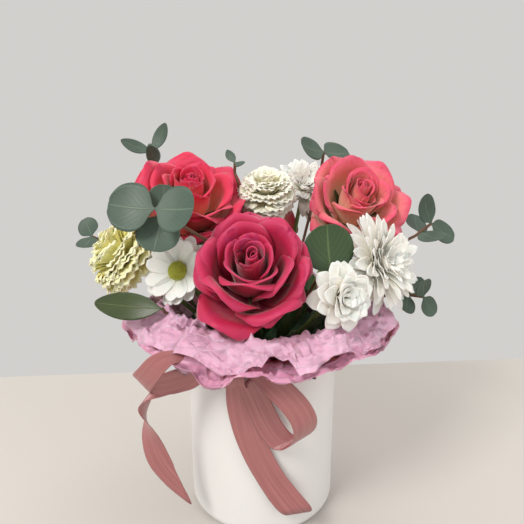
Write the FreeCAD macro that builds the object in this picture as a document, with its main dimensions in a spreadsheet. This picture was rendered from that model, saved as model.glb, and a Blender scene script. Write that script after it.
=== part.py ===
import FreeCAD, Part
import os
from collections import namedtuple

import Sketcher

# A round flower box: a lidless box with a flat base, holding a lift-out liner of
# floral foam. Crinkled tissue lines the box and flares over its rim, a satin
# ribbon ties it, and every flower and sprig is a stem pushed into the foam.
# Origin: middle of the base, on the surface it stands on. +Z up, front at -Y.

Flower = namedtuple(
    "Flower", "kind azimuth tilt reach root face_azimuth face_tilt radius height")
Sprig = namedtuple(
    "Sprig", "azimuth tilt reach root branch_azimuth branch_tilt branch_length "
    "tip_azimuth tip_tilt tip_length roll lean leaf_length leaf_width leaves")

# Directions are in degrees: azimuth round +Z from +X, tilt away from +Z.
# A stem leaves the upright axis at its root, so far below the box's rim, and runs
# straight to its reach.
FLOWERS = {
    "rose_front": Flower("rose", -99, 21, 105, 45, -92, 45, 38, 56),
    "rose_left": Flower("rose", 150, 28, 158, 57, -70, 32, 37, 56),
    "rose_right": Flower("rose", 35, 31, 166, 55, -75, 48, 36, 54),
    "rose_back": Flower("rose", 100, 34, 116, 45, 95, 45, 36, 54),
    "carnation_yellow": Flower("carnation", 180, 48, 129, 25, -170, 50, 23, 24),
    "carnation_cream": Flower("carnation", 84, 12, 177, 70, -90, 25, 19, 20),
    "carnation_back": Flower("carnation", 140, 44, 123, 29, 140, 60, 22, 24),
    "mum_top": Flower("mum", 66, 29, 188, 55, -80, 45, 20, 20),
    "mum_right": Flower("mum", -12, 41, 126, 28, -42, 66, 27, 20),
    "mum_low": Flower("mum", -49, 42, 115, 28, -60, 80, 19, 16),
    "mum_small": Flower("mum", 160, 39, 180, 35, 165, 34, 12, 13),
    "daisy_left": Flower("daisy", -159, 33, 118, 35, -112, 64, 22, 5),
}
SPRIGS = {
    "sprig_broad": Sprig(-137, 21, 145, 45, -166, 56, 37, -105, 65, 14, 90, 80, 31, 30, 4),
    "sprig_top_left": Sprig(135, 26, 172, 80, 155, 36, 72, 190, 20, 15, 0, 48, 26, 13, 4),
    "sprig_far_left": Sprig(170, 47, 122, 27, 150, 74, 58, -150, 60, 12, 60, 70, 20, 18, 2),
    "sprig_top_middle": Sprig(121, 10, 203, 80, 150, 20, 14, -80, 20, 8, 20, 70, 14, 8, 2),
    "sprig_top_right": Sprig(47, 21, 200, 60, 60, 25, 12, 40, 10, 10, 0, 84, 22, 18, 2),
    "sprig_front_right": Sprig(-32, 27, 106, 35, -72, 66, 16, -62, 72, 8, 180, 84, 36, 34, 1),
    "sprig_right": Sprig(16, 47, 134, 28, 12, 66, 40, 0, 50, 16, 15, 72, 26, 20, 4),
    "sprig_low_right": Sprig(4, 48, 88, 25, -6, 84, 50, -40, 85, 15, 30, 74, 18, 15, 4),
    "ruscus_left": Sprig(-124, 50, 76, 22, 171, 72, 40, -95, 50, 8, -90, 80, 46, 21, 1),
    "ruscus_back": Sprig(128, 48, 92, 25, 118, 75, 22, 118, 75, 8, 180, 15, 44, 20, 1),
}

# Every driving size, in millimetres.
SIZES = {
    "box_radius": 60, "box_height": 140, "box_wall": 2.5, "box_floor": 4, "base_round": 8,
    "tissue_gauge": 0.6, "tissue_gap": 0.1, "tissue_depth": 35, "neck_height": 8,
    "collar_radius": 105, "collar_rise": 7, "collar_crumple": 7, "collar_lip": 1,
    "inner_collar_radius": 94, "inner_collar_rise": 14, "inner_collar_crumple": 8,
    "inner_collar_lip": 4, "collar_gap": 0.5,
    "liner_gap": 0.6, "liner_wall": 0.8, "liner_lift": 0.5, "liner_drop": 2, "liner_base": 1,
    "foam_gap": 0.1, "foam_rise": 10, "insertion_depth": 20, "hole_clearance": 0.05, "hole_rise": 4,
    "rose_stem_radius": 2.5, "rose_calyx_height": 8, "rose_calyx_radius": 9,
    "carnation_stem_radius": 1.8, "carnation_calyx_height": 11, "carnation_calyx_radius": 6,
    "mum_stem_radius": 1.8, "mum_calyx_height": 4, "mum_calyx_radius": 6,
    "daisy_stem_radius": 1.8, "daisy_calyx_height": 3, "daisy_calyx_radius": 6,
    "disc_radius": 6.5, "disc_height": 5, "daisy_rim": 1,
    "twig_radius": 1.2, "leaf_gauge": 1.2, "leaf_gap": 0.1, "pair_spacing": 12,
    "ribbon_width": 18, "ribbon_gauge": 1.2, "ribbon_gap": 0.3,
    "band_gauge": 1.6, "band_width": 6,
    "knot_azimuth": -106.5, "knot_width": 14, "knot_depth": 10, "knot_height": 13, "knot_round": 2.5,
    "left_loop_length": 56, "left_loop_radius": 11, "left_loop_drop": 3, "loop_gap": 2,
    "right_loop_length": 62, "right_loop_radius": 8, "right_loop_slope": 48, "right_loop_drop": 8,
    "left_tail_length": 104, "left_tail_lean": 18, "left_tail_start": 4, "left_tail_bridge": 7,
    "right_tail_length": 108, "right_tail_lean": 19, "tail_notch": 9,
}

# Shares of a flower head's radius and height, and of a daisy disc's.
SHOULDER, CROWN = 0.86, 0.45
LOW, WIDEST, HIGH = 0.22, 0.5, 0.82
DISC_SHOULDER, DISC_HIGH, DISC_CROWN = 0.85, 0.6, 0.3

doc = FreeCAD.newDocument("flower_box")
sizes = doc.addObject("Spreadsheet::Sheet", "Sizes")


def fill_sheet():
    """Write every driving size to the sheet, one row each, with its alias."""
    rows = dict(SIZES)
    for table in (FLOWERS, SPRIGS):
        for name, item in table.items():
            for field in item._fields:
                if field not in ("kind", "leaves"):
                    rows[name + "_" + field] = getattr(item, field)
    for row, (alias, value) in enumerate(rows.items(), start=1):
        sizes.set("A%d" % row, alias)
        sizes.set("B%d" % row, str(value))
        sizes.setAlias("B%d" % row, alias)
    doc.recompute()


def cell(alias):
    """Return the expression that reads one size from the sheet."""
    return "Sizes." + alias


def value_of(expression):
    """Return an expression's value as a plain number."""
    value = sizes.evalExpression(expression)
    return float(getattr(value, "Value", value))


def direction(azimuth, tilt):
    """Return the rotation expression that turns +Z to an azimuth and a tilt."""
    return ("rotation(vector(0; 0; 1); %s) * rotation(vector(0; 1; 0); %s)" % (azimuth, tilt))


def placed(x="0", y="0", z="0", turn="rotation(vector(0; 0; 1); 0)"):
    """Return a placement expression."""
    return "placement(vector(%s; %s; %s); %s)" % (x, y, z, turn)


def label(item, name):
    """Give a finished sub-part the name of its node."""
    item.Label = name
    NODES.append(item)
    return item


def primitive(kind, name, placement=None, **expressions):
    """Add a Part primitive whose sizes are bound to expressions."""
    item = doc.addObject("Part::" + kind, name)
    for size, expression in expressions.items():
        item.setExpression(size, expression)
    if placement:
        item.setExpression("Placement", placement)
    return item


def fuse(name, pieces):
    """Join pieces that are one solid."""
    item = doc.addObject("Part::MultiFuse", name)
    item.Shapes = pieces
    item.Refine = True
    return item


def outline_sketch(body, name, start, segments):
    """Add a closed, fully bound outline to a body's upright XZ plane.

    Each segment is (x, y) for a straight run, or (xm, ym, x, y) for an arc
    through a middle point; every coordinate is an expression.
    """
    sketch = body.newObject("Sketcher::SketchObject", name)
    support = [item for item in body.Origin.OriginFeatures if item.Role == "XZ_Plane"][0]
    sketch.AttachmentSupport = [(support, "")]
    sketch.MapMode = "FlatFace"
    corners = [start] + [segment[-2:] for segment in segments[:-1]]
    points = [FreeCAD.Vector(value_of(x), value_of(y), 0) for x, y in corners]
    ends = []
    for index, segment in enumerate(segments):
        first = points[index]
        last = points[(index + 1) % len(points)]
        if len(segment) == 2:
            geometry = sketch.addGeometry(Part.LineSegment(first, last), False)
            ends.append((geometry, 1, 2, first))
            continue
        middle = FreeCAD.Vector(value_of(segment[0]), value_of(segment[1]), 0)
        arc = Part.Arc(first, middle, last)
        geometry = sketch.addGeometry(arc, False)
        counter_clockwise = (middle - first).cross(last - middle).z > 0
        ends.append((geometry, 1, 2, first) if counter_clockwise else (geometry, 2, 1, first))
        marker = sketch.addGeometry(Part.Point(middle), True)
        bind_point(sketch, marker, 1, segment[:2], middle)
        sketch.addConstraint(Sketcher.Constraint("PointOnObject", marker, 1, geometry))
    for index, (geometry, near, far, first) in enumerate(ends):
        following = ends[(index + 1) % len(ends)]
        sketch.addConstraint(
            Sketcher.Constraint("Coincident", geometry, far, following[0], following[1]))
        bind_point(sketch, geometry, near, corners[index], first)
    return sketch


def bind_point(sketch, geometry, vertex, expressions, point):
    """Hold one sketch point at two coordinates that follow the sheet."""
    for kind, expression, number in zip(("DistanceX", "DistanceY"), expressions, point):
        index = sketch.addConstraint(
            Sketcher.Constraint(kind, -1, 1, geometry, vertex, number))
        sketch.setExpression("Constraints[%d]" % index, expression)


def revolved(name, start, segments, placement=None):
    """Make a body by turning an outline in the XZ plane round its Z axis."""
    body = doc.addObject("PartDesign::Body", name)
    sketch = outline_sketch(body, name + "_outline", start, segments)
    doc.recompute()
    turned = body.newObject("PartDesign::Revolution", name + "_turned")
    turned.Profile = sketch
    turned.ReferenceAxis = (sketch, ["V_Axis"])
    turned.Angle = 360
    sketch.Visibility = False
    if placement:
        body.setExpression("Placement", placement)
    return body


def padded(name, start, segments, thickness, placement=None):
    """Make a body by padding an outline in the XZ plane both ways."""
    body = doc.addObject("PartDesign::Body", name)
    sketch = outline_sketch(body, name + "_outline", start, segments)
    doc.recompute()
    pad = body.newObject("PartDesign::Pad", name + "_pad")
    pad.Profile = sketch
    pad.setExpression("Length", thickness)
    pad.Midplane = True
    if placement:
        body.setExpression("Placement", placement)
    return body


def make_box_shell():
    """The round box: a flat base, a rounded base edge and a straight wall."""
    outer = cell("box_radius")
    bend = cell("base_round")
    inner = outer + " - " + cell("box_wall")
    label(revolved("box_shell", ("0", "0"), [
        (outer + " - " + bend, "0"),
        (outer + " - " + bend + " * (1 - sin(45))", bend + " * (1 - cos(45))", outer, bend),
        (outer, cell("box_height")),
        (inner, cell("box_height")),
        (inner, cell("box_floor")),
        ("0", cell("box_floor")),
        ("0", "0"),
    ]), "box_shell")


def make_tissue():
    """Two sheets of tissue, each a skirt down inside the box and a flared collar."""
    rim = cell("box_height")
    bottom = "(%s - %s)" % (rim, cell("tissue_depth"))
    neck = "(%s + %s)" % (rim, cell("neck_height"))
    outside = "(%s - %s - %s)" % (cell("box_radius"), cell("box_wall"), cell("tissue_gap"))
    inside = "(%s - %s)" % (outside, cell("tissue_gauge"))
    edge = "(%s + %s)" % (neck, cell("collar_rise"))
    make_skirt("tissue_outer_skirt", inside, outside, bottom, neck)
    make_collar("tissue_outer_collar", inside, outside, neck, cell("collar_radius"), edge,
                cell("collar_lip"), cell("collar_crumple"))
    second_outside = "(%s - %s)" % (inside, cell("tissue_gap"))
    second_inside = "(%s - %s)" % (second_outside, cell("tissue_gauge"))
    second_neck = "(%s + %s / 2 + %s)" % (neck, cell("collar_crumple"), cell("collar_gap"))
    second_edge = "(%s + %s)" % (second_neck, cell("inner_collar_rise"))
    make_skirt("tissue_inner_skirt", second_inside, second_outside, bottom, second_neck)
    make_collar("tissue_inner_collar", second_inside, second_outside, second_neck,
                cell("inner_collar_radius"), second_edge, cell("inner_collar_lip"),
                cell("inner_collar_crumple"))


def make_skirt(name, inside, outside, bottom, top):
    """The upright part of a sheet: a thin tube against the box's wall."""
    label(revolved(name, (inside, bottom), [
        (outside, bottom), (outside, top), (inside, top), (inside, bottom),
    ]), name)


def make_collar(name, inside, outside, neck, radius, edge, lip, crumple):
    """The flared part of a sheet, thick enough to hold its crumples."""
    foot = "(%s + %s)" % (neck, cell("tissue_gap"))
    label(revolved(name, (inside, foot), [
        (outside, foot),
        (radius, edge),
        ("%s - %s" % (radius, lip), "%s + %s" % (edge, crumple)),
        (inside, "%s + %s / 2" % (neck, crumple)),
        (inside, foot),
    ]), name)


def liner_outside():
    """Return the liner's outer radius: what the box and both sheets leave."""
    return "(%s - %s - 2 * (%s + %s) - %s)" % (
        cell("box_radius"), cell("box_wall"), cell("tissue_gauge"),
        cell("tissue_gap"), cell("liner_gap"))


def foam_top():
    """Return the height of the foam's top face."""
    return "(%s + %s)" % (cell("box_height"), cell("foam_rise"))


def make_liner():
    """The waterproof cup that holds the foam and lifts out of the box."""
    outside = liner_outside()
    inside = "(%s - %s)" % (outside, cell("liner_wall"))
    bottom = "(%s + %s)" % (cell("box_floor"), cell("liner_lift"))
    top = "(%s - %s)" % (cell("box_height"), cell("liner_drop"))
    label(revolved("liner", ("0", bottom), [
        (outside, bottom),
        (outside, top),
        (inside, top),
        (inside, bottom + " + " + cell("liner_base")),
        ("0", bottom + " + " + cell("liner_base")),
        ("0", bottom),
    ]), "liner")


def stem_frame(name):
    """Return the placement of a stem's root: origin on the axis, +Z along it."""
    return placed(z="%s - %s" % (cell("box_height"), cell(name + "_root")),
                  turn=direction(cell(name + "_azimuth"), cell(name + "_tilt")))


def stem_start(name):
    """Return how far from its root a stem's tip lies in the foam."""
    return "((%s + %s) / cos(%s) - %s)" % (
        cell("foam_rise"), cell(name + "_root"), cell(name + "_tilt"), cell("insertion_depth"))


def stem_end(name):
    """Return the point where a stem ends, as a vector expression."""
    return "%s * vector(0; 0; %s)" % (stem_frame(name), cell(name + "_reach"))


def stem_radius(name):
    """Return the radius of a flower's stem or a sprig's twig."""
    if name in SPRIGS:
        return cell("twig_radius")
    return cell(FLOWERS[name].kind + "_stem_radius")


def straight_stem(name):
    """Make the straight part of a stem, from its tip in the foam to its bend."""
    return primitive(
        "Cylinder", name + "_straight",
        "%s * %s" % (stem_frame(name), placed(z=stem_start(name))),
        Radius=stem_radius(name),
        Height="%s - %s" % (cell(name + "_reach"), stem_start(name)))


def head_frame(name):
    """Return the placement of a flower's neck, +Z the way the flower faces."""
    turn = direction(cell(name + "_face_azimuth"), cell(name + "_face_tilt"))
    return "placement(%s; %s)" % (stem_end(name), turn)


def make_flower_stem(name):
    """The stem, the bend at its neck and the green calyx under the petals."""
    kind = FLOWERS[name].kind
    neck = primitive("Sphere", name + "_neck", "placement(%s; rotation(vector(0; 0; 1); 0))"
                     % stem_end(name), Radius=stem_radius(name))
    calyx = primitive("Cone", name + "_calyx", head_frame(name),
                      Radius1=stem_radius(name),
                      Radius2=cell(kind + "_calyx_radius"),
                      Height=cell(kind + "_calyx_height"))
    label(fuse(name + "_stem", [straight_stem(name), neck, calyx]), name + "_stem")


def share(size, part):
    """Return a part of a size, as an expression."""
    return "%s * %s" % (size, part)


def make_head(name):
    """The head of petals: a cup that swells to its radius and rounds over."""
    kind = FLOWERS[name].kind
    radius = cell(name + "_radius")
    height = cell(name + "_height")
    seat = cell(kind + "_calyx_height")
    label(revolved(name + "_head", ("0", seat), [
        (cell(kind + "_calyx_radius"), seat),
        (share(radius, SHOULDER), seat + " + " + share(height, LOW),
         radius, seat + " + " + share(height, WIDEST)),
        (share(radius, SHOULDER), seat + " + " + share(height, HIGH),
         share(radius, CROWN), seat + " + " + height),
        ("0", seat + " + " + height),
        ("0", seat),
    ], head_frame(name)), name + "_head")


def make_daisy(name):
    """The daisy's ring of petals, shallow and cupped, and its domed disc."""
    seat = cell("daisy_calyx_height")
    top = seat + " + " + cell(name + "_height")
    radius = cell(name + "_radius")
    label(revolved(name + "_petals", ("0", seat), [
        (cell("daisy_calyx_radius"), seat),
        (radius, top + " - " + cell("daisy_rim")),
        (radius, top),
        ("0", top),
        ("0", seat),
    ], head_frame(name)), name + "_petals")
    disc = cell("disc_radius")
    label(revolved(name + "_disc", ("0", top), [
        (disc, top),
        (share(disc, DISC_SHOULDER), top + " + " + share(cell("disc_height"), DISC_HIGH),
         share(disc, DISC_CROWN), top + " + " + cell("disc_height")),
        ("0", top + " + " + cell("disc_height")),
        ("0", top),
    ], head_frame(name)), name + "_disc")


def branch_frame(name):
    """Return the placement of a sprig's branch, from the bend of its twig."""
    turn = direction(cell(name + "_branch_azimuth"), cell(name + "_branch_tilt"))
    return "placement(%s; %s)" % (stem_end(name), turn)


def tip_frame(name):
    """Return the placement of a sprig's leafy tip."""
    turn = direction(cell(name + "_tip_azimuth"), cell(name + "_tip_tilt"))
    base = "%s * vector(0; 0; %s)" % (branch_frame(name), cell(name + "_branch_length"))
    return "placement(%s; %s)" % (base, turn)


def make_twig(name):
    """The twig in three straight runs with rounded bends."""
    pieces = [straight_stem(name)]
    for part, frame in (("branch", branch_frame(name)), ("tip", tip_frame(name))):
        pieces.append(primitive("Sphere", name + "_" + part + "_bend", frame,
                                Radius=cell("twig_radius")))
        pieces.append(primitive("Cylinder", name + "_" + part, frame,
                                Radius=cell("twig_radius"),
                                Height=cell(name + "_" + part + "_length")))
    label(fuse(name + "_twig", pieces), name + "_twig")


def make_leaf(name, title, frame):
    """One flat leaf: where two discs overlap, pointed at both of its ends."""
    length = cell(name + "_leaf_length")
    width = cell(name + "_leaf_width")
    bow = "((%s ^ 2 + %s ^ 2) / (4 * %s))" % (length, width, width)
    discs = []
    for side, sign in (("near", "-1"), ("far", "1")):
        shift = "%s * (%s - %s / 2)" % (sign, bow, width)
        centre = placed("-%s / 2" % cell("leaf_gauge"), shift,
                        "%s / sin(%s) + %s + %s / 2" % (
                            cell("twig_radius"), cell(name + "_lean"), cell("leaf_gap"), length),
                        "rotation(vector(0; 1; 0); 90)")
        discs.append(primitive("Cylinder", title + "_" + side, "%s * %s" % (frame, centre),
                               Radius=bow, Height=cell("leaf_gauge")))
    leaf = doc.addObject("Part::Common", title)
    leaf.Base = discs[0]
    leaf.Tool = discs[1]
    return leaf


def make_leaves(name):
    """Opposite pairs of leaves down the tip, each a quarter turn from the last."""
    leaves = []
    for index in range(SPRIGS[name].leaves):
        pair = index // 2
        along = "%s - %s * %d" % (cell(name + "_tip_length"), cell("pair_spacing"), pair)
        roll = "%s + %d" % (cell(name + "_roll"), 180 * (index % 2) + 90 * pair)
        frame = "%s * %s" % (tip_frame(name),
                             placed(z=along, turn=direction(roll, cell(name + "_lean"))))
        leaves.append(make_leaf(name, "%s_leaf_%d" % (name, index + 1), frame))
    group = doc.addObject("Part::Compound", name + "_leaves")
    group.Links = leaves
    label(group, name + "_leaves")


def make_foam():
    """The foam block, with the hole that each stem makes in it."""
    radius = "%s - %s - %s" % (liner_outside(), cell("liner_wall"), cell("foam_gap"))
    bottom = "(%s + %s + %s + %s)" % (cell("box_floor"), cell("liner_lift"),
                                      cell("liner_base"), cell("foam_gap"))
    block = primitive("Cylinder", "foam_block", placed(z=bottom),
                      Radius=radius, Height="%s - %s" % (foam_top(), bottom))
    holes = []
    for name in list(FLOWERS) + list(SPRIGS):
        holes.append(primitive(
            "Cylinder", name + "_hole",
            "%s * %s" % (stem_frame(name), placed(z=stem_start(name))),
            Radius="%s + %s" % (stem_radius(name), cell("hole_clearance")),
            Height="%s + %s" % (cell("insertion_depth"), cell("hole_rise"))))
    foam = doc.addObject("Part::Cut", "foam")
    foam.Base = block
    foam.Tool = fuse("foam_holes", holes)
    label(foam, "foam")


def make_band():
    """The gathered ribbon round the neck of the tissue, just above the rim."""
    inside = "(%s - %s - %s + %s)" % (cell("box_radius"), cell("box_wall"),
                                      cell("tissue_gap"), cell("ribbon_gap"))
    outside = "(%s + %s)" % (inside, cell("band_gauge"))
    bottom = "(%s + %s)" % (cell("box_height"), cell("ribbon_gap"))
    top = "(%s + %s)" % (bottom, cell("band_width"))
    label(revolved("ribbon_band", (inside, bottom), [
        (outside, bottom), (outside, top), (inside, top), (inside, bottom),
    ]), "ribbon_band")


def knot_frame():
    """Return the placement of the knot: origin on the axis, +X to the knot."""
    return placed(z="%s + %s" % (cell("box_height"), cell("ribbon_gap")),
                  turn="rotation(vector(0; 0; 1); %s)" % cell("knot_azimuth"))


def knot_x():
    """Return the knot's sideways place."""
    return "(%s * cos(%s))" % (knot_reach(), cell("knot_azimuth"))


def knot_y():
    """Return the knot's place in front of the axis."""
    return "(%s * sin(%s))" % (knot_reach(), cell("knot_azimuth"))


def knot_reach():
    """Return the distance from the axis to the middle of the knot."""
    return "(%s + %s + %s / 2)" % (cell("box_radius"), cell("ribbon_gap"), cell("knot_depth"))


def make_knot():
    """The knot, a soft-edged block against the outside of the rim."""
    block = primitive(
        "Box", "knot_block",
        "%s * %s" % (knot_frame(), placed(
            "%s + %s" % (cell("box_radius"), cell("ribbon_gap")),
            "-%s / 2" % cell("knot_width"),
            "%s - %s" % (cell("band_width"), cell("knot_height")))),
        Length=cell("knot_depth"), Width=cell("knot_width"), Height=cell("knot_height"))
    doc.recompute()
    knot = doc.addObject("Part::Fillet", "ribbon_knot")
    knot.Base = block
    bend = value_of(cell("knot_round"))
    knot.Edges = [(index + 1, bend, bend) for index in range(len(block.Shape.Edges))]
    label(knot, "ribbon_knot")


def racetrack(name, frame, length, radius, width):
    """Make a solid bar with two round ends: length along X, width along Y."""
    straight = "(%s - 2 * %s)" % (length, radius)
    core = primitive("Box", name + "_core", "%s * %s" % (frame, placed(
        "-%s / 2" % straight, "-%s / 2" % width, "-" + radius)),
        Length=straight, Width=width, Height="2 * " + radius)
    ends = []
    for side, sign in (("near", "-1"), ("far", "1")):
        ends.append(primitive("Cylinder", name + "_" + side, "%s * %s" % (frame, placed(
            "%s * %s / 2" % (sign, straight), "%s / 2" % width, "0",
            "rotation(vector(1; 0; 0); 90)")), Radius=radius, Height=width))
    return fuse(name, [core] + ends)


def make_loop(name, frame, length, radius):
    """One loop of the bow: a strip of ribbon bent back on itself."""
    gauge = cell("ribbon_gauge")
    width = cell("ribbon_width")
    outer = racetrack(name + "_outside", frame, length, radius, width)
    inner = racetrack(name + "_inside", frame, "(%s - 2 * %s)" % (length, gauge),
                      "(%s - %s)" % (radius, gauge), "(%s + 2)" % width)
    loop = doc.addObject("Part::Cut", name)
    loop.Base = outer
    loop.Tool = inner
    label(loop, name)


def make_loops():
    """The left loop stands out beside the box; the right one hangs down its front."""
    half_width = "%s / 2" % cell("ribbon_width")
    clear = "max(%s / 2 + %s; %s)" % (cell("knot_width"), cell("loop_gap"), half_width)
    beside = "(%s - %s - %s - %s / 2)" % (
        knot_x(), clear, cell("ribbon_gap"), cell("left_loop_length"))
    front = "(-%s - %s - %s)" % (cell("box_radius"), cell("loop_gap"), half_width)
    height = "(%s + %s - %s - %s)" % (
        cell("box_height"), cell("band_width"), cell("left_loop_radius"), cell("left_loop_drop"))
    make_loop("ribbon_loop_left", placed(beside, front, height),
              cell("left_loop_length"), cell("left_loop_radius"))
    slope = cell("right_loop_slope")
    run = "(%s / 2 + %s)" % (cell("right_loop_length"), cell("loop_gap"))
    start_x = "(%s + %s / 2 + %s)" % (knot_x(), cell("knot_width"), cell("ribbon_gap"))
    turn = ("rotation(vector(0; 1; 0); %s) * rotation(vector(1; 0; 0); 90)" % slope)
    depth = "(-%s - 4 * %s - 2 * %s - %s)" % (
        cell("box_radius"), cell("ribbon_gauge"), cell("ribbon_gap"), cell("right_loop_radius"))
    middle = "%s - %s - %s * sin(%s)" % (cell("box_height"), cell("right_loop_drop"), run, slope)
    make_loop("ribbon_loop_right",
              placed("%s + %s * cos(%s)" % (start_x, run, slope), depth, middle, turn),
              cell("right_loop_length"), cell("right_loop_radius"))


def make_tails():
    """The two cut ends: one drops from the left loop's end, one from the knot."""
    gauge = cell("ribbon_gauge")
    width = cell("ribbon_width")
    rise = "(%s + %s - %s)" % (cell("box_height"), cell("band_width"), cell("knot_height"))
    near = "(%s - %s / 2 - %s)" % (knot_x(), cell("knot_width"), cell("left_tail_start"))
    far = "(%s - %s)" % (near, cell("left_loop_length"))
    drop_x, drop_z = drop("left")
    bridge = cell("left_tail_bridge")
    label(padded("ribbon_tail_left", (near, rise), [
        (near, rise + " + " + bridge),
        (far, rise + " + " + bridge),
        ("%s + %s" % (far, drop_x), "%s - %s" % (rise, drop_z)),
        ("%s + %s + %s" % (far, drop_x, width),
         "%s - %s + 2 * %s" % (rise, drop_z, cell("tail_notch"))),
        ("%s + %s" % (far, width), rise + " - " + bridge + " / 2"),
        (near, rise),
    ], gauge, placed(y="(-%s - %s)" % (cell("box_radius"), gauge))), "ribbon_tail_left")
    left = "(%s - %s / 2)" % (knot_x(), width)
    right = "(%s + %s / 2)" % (knot_x(), width)
    top = "(%s - %s)" % (rise, cell("ribbon_gap"))
    drop_x, drop_z = drop("right")
    label(padded("ribbon_tail_right", (left, top), [
        ("%s + %s" % (left, drop_x), "%s - %s" % (top, drop_z)),
        ("%s + %s + %s" % (left, drop_x, width),
         "%s - %s + %s" % (top, drop_z, cell("tail_notch"))),
        (right, top),
        (left, top),
    ], gauge, placed(y="(-%s - 1.5 * %s)" % (cell("box_radius"), gauge))), "ribbon_tail_right")


def drop(side):
    """Return how far a tail runs to the right and down, as expressions."""
    length = cell(side + "_tail_length")
    lean = cell(side + "_tail_lean")
    return "%s * sin(%s)" % (length, lean), "%s * cos(%s)" % (length, lean)


def build():
    """Build every sub-part in order."""
    fill_sheet()
    make_box_shell()
    make_tissue()
    make_band()
    make_knot()
    make_loops()
    make_tails()
    make_liner()
    make_foam()
    for name, flower in FLOWERS.items():
        make_flower_stem(name)
        if flower.kind == "daisy":
            make_daisy(name)
        else:
            make_head(name)
    for name in SPRIGS:
        make_twig(name)
        make_leaves(name)
    doc.recompute()


def check():
    """Stop if any object failed or any sub-part is not a valid solid."""
    for item in doc.Objects:
        if "Invalid" in item.State or "Error" in item.State:
            raise RuntimeError("%s failed: %s" % (item.Label, item.State))
    for item in NODES:
        if item.Shape.isNull() or not item.Shape.isValid() or not item.Shape.Solids:
            raise RuntimeError("%s is not a valid solid" % item.Label)


def export():
    """Write each sub-part to its own file."""
    os.makedirs("parts", exist_ok=True)
    for item in NODES:
        item.Shape.exportStep("parts/%s.step" % item.Label)
        print(item.Label, len(item.Shape.Solids), round(item.Shape.Volume))


NODES = []
build()
check()
export()
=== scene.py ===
import logging
import math
import random
from contextlib import contextmanager
from dataclasses import dataclass
from enum import Enum
from typing import Callable, Iterator, Optional, Sequence, Union

import bmesh
import bpy
from mathutils import Matrix, Vector


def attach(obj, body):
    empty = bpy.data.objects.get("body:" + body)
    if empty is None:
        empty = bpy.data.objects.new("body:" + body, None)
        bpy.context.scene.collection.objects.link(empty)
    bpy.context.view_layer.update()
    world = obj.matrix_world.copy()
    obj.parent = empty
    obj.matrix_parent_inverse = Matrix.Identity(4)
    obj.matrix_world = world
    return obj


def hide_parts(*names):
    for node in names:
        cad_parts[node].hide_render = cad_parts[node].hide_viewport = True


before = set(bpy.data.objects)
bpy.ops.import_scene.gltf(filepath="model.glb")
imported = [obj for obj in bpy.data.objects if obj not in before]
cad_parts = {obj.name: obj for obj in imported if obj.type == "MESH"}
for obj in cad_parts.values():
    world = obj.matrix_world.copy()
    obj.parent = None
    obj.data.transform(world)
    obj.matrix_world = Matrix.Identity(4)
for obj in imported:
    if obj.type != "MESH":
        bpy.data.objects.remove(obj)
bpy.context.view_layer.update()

LOG = logging.getLogger("flower_box")
MM = 0.001
GOLDEN_ANGLE = 137.508
# How near a grid line a vertex's first place has to be to lie on it.
ON_LINE = 0.002
Number = Union[int, float]
Pair = tuple[float, float]
Row = tuple[float, float, float]
Colour = Row
Piece = bpy.types.Object
Material = bpy.types.Material

# Turns a shape laid on XY, length along +Y and face towards +Z, so that it
# stands along +Z with its face outwards, towards +X.
STAND_UP = Matrix(((0, 0, 1, 0), (1, 0, 0, 0), (0, 1, 0, 0), (0, 0, 0, 1)))


def turn(degrees: float, axis: str = "Z") -> Matrix:
    """Return a turn about an axis."""
    return Matrix.Rotation(math.radians(degrees), 4, axis)


def direction(azimuth: float, tilt: float) -> Matrix:
    """Return the turn that takes +Z to an azimuth and a tilt, in degrees."""
    return turn(azimuth) @ turn(tilt, "Y")


def shift(x: float, y: float, z: float) -> Matrix:
    """Return a move, in metres."""
    return Matrix.Translation((x, y, z))


def upright(size: float) -> Matrix:
    """Return the placement that stands a flat shape up, at a size."""
    return Matrix.Scale(size, 4) @ STAND_UP


def onward(start: Matrix, length: float, azimuth: float, tilt: float) -> Matrix:
    """Return the placement where one run ends and the next sets off.

    Args:
        start: The run's placement, +Z along it.
        length: The run's length, in millimetres.
        azimuth: Where the next run heads, in degrees.
        tilt: How far the next run leans from upright, in degrees.

    Returns:
        The next run's placement.
    """
    return Matrix.Translation(start @ Vector((0, 0, length * MM))) @ direction(azimuth, tilt)


# ---------------------------------------------------------------- materials


class Shade:
    """A socket of a material that takes part in expressions."""

    def __init__(self, paint: "Paint", socket: bpy.types.NodeSocket) -> None:
        """Wrap one output socket.

        Args:
            paint: The material that the socket belongs to.
            socket: The output socket.
        """
        self.paint = paint
        self.socket = socket

    def __add__(self, other: "Value") -> "Shade":
        """Return self + other."""
        return self.paint.calc("ADD", self, other)

    def __sub__(self, other: "Value") -> "Shade":
        """Return self - other."""
        return self.paint.calc("SUBTRACT", self, other)

    def __rsub__(self, other: "Value") -> "Shade":
        """Return other - self."""
        return self.paint.calc("SUBTRACT", other, self)

    def __mul__(self, other: "Value") -> "Shade":
        """Return self * other."""
        return self.paint.calc("MULTIPLY", self, other)

    def __abs__(self) -> "Shade":
        """Return self without its sign."""
        return self.paint.calc("ABSOLUTE", self)

    __radd__ = __add__
    __rmul__ = __mul__


Value = Union[Shade, Number, Sequence[float]]


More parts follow.
